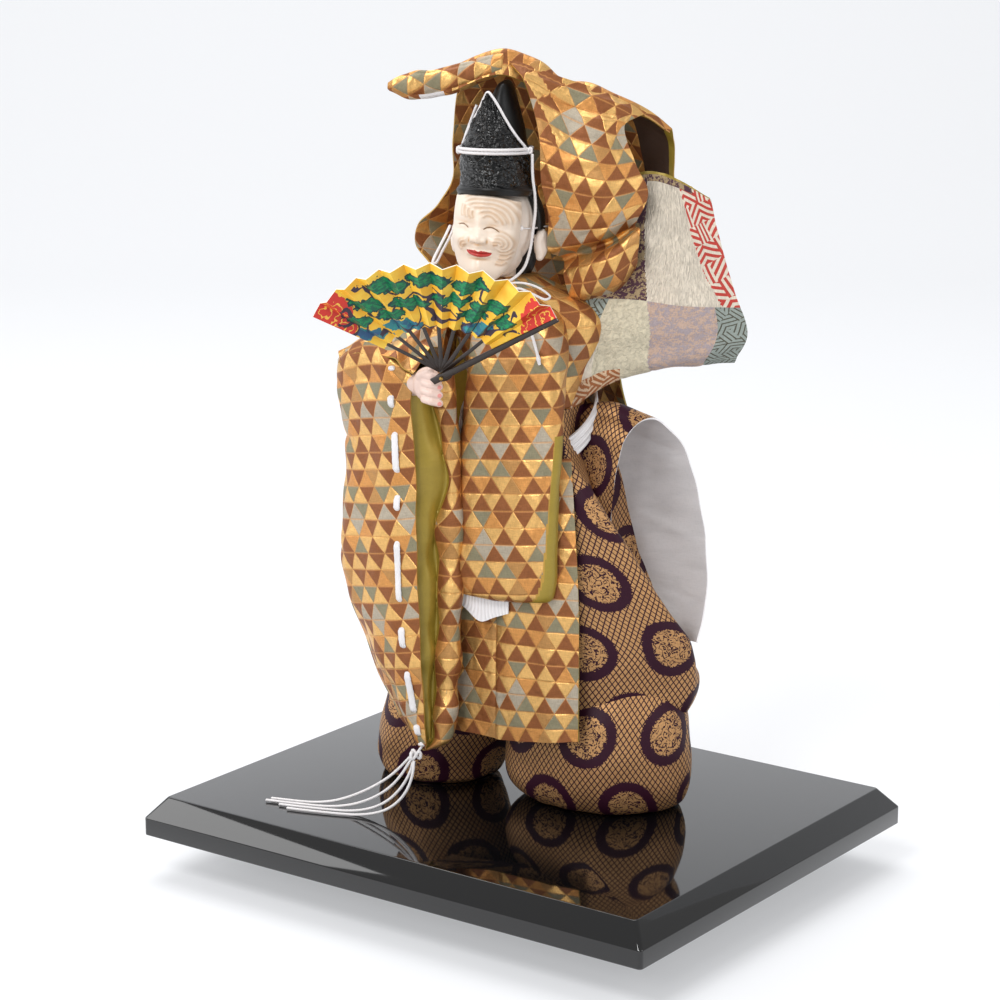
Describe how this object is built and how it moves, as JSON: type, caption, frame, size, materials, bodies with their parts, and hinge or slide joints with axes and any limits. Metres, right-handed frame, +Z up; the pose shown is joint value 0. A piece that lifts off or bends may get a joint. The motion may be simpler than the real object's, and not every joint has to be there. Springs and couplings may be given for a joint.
{
  "type": "noh doll",
  "caption": "Standing dance doll in a triangle-pattern gold robe, tall black hat and old man's mask, one sleeve raised and a fan in hand, on a black plinth.",
  "frame": {"origin": "middle of the plinth's underside", "axes": "+Z up; the plinth's long side lies along X; the doll looks along -Y, turned 14 degrees towards +X; its left is towards +X"},
  "size_m": [0.45, 0.3611, 0.5863],
  "materials": {
    "plinth_lacquer": "black high-gloss lacquer",
    "hakama_brocade": "dark purple and gold silk brocade",
    "robe_brocade": "gold, copper and sage triangle brocade",
    "patchwork_silk": "patchwork of printed silks",
    "white_silk": "white ribbed silk",
    "cord_white": "white braided silk cord",
    "face_white": "smooth white shell paint",
    "mask_ivory": "satin ivory paint over carved wood",
    "hand_pink": "smooth pale pink shell paint",
    "hair_black": "fine black silk hair",
    "hat_lacquer": "black lacquered crepe, crinkled",
    "fan_paper": "painted gold paper",
    "fan_bamboo": "dark lacquered bamboo",
    "fan_brass": "polished brass"
  },
  "bodies": {
    "root": {"plinth": "plinth_lacquer", "hakama": "hakama_brocade", "sash_belt": "white_silk", "sash_end": "white_silk", "robe_body": "robe_brocade", "robe_right_sleeve": "robe_brocade", "robe_left_sleeve": "robe_brocade", "under_sleeve": "patchwork_silk", "head": "face_white", "hair": "hair_black", "mask": "mask_ivory", "mask_string": "cord_white", "hat": "hat_lacquer", "hat_band": "cord_white", "hat_chevron": "cord_white", "chin_cord": "cord_white", "chin_bow": "cord_white", "chin_cord_loop": "cord_white", "chin_cord_end": "cord_white", "right_hand": "hand_pink", "fan_leaf": "fan_paper", "fan_sticks": "fan_bamboo", "fan_guard": "fan_bamboo", "fan_rivet": "fan_brass", "sleeve_lacing": "cord_white", "tassel_knot": "cord_white", "tassel_cord_1": "cord_white", "tassel_cord_2": "cord_white", "tassel_cord_3": "cord_white", "tassel_cord_4": "cord_white"}
  },
  "joints": []
}
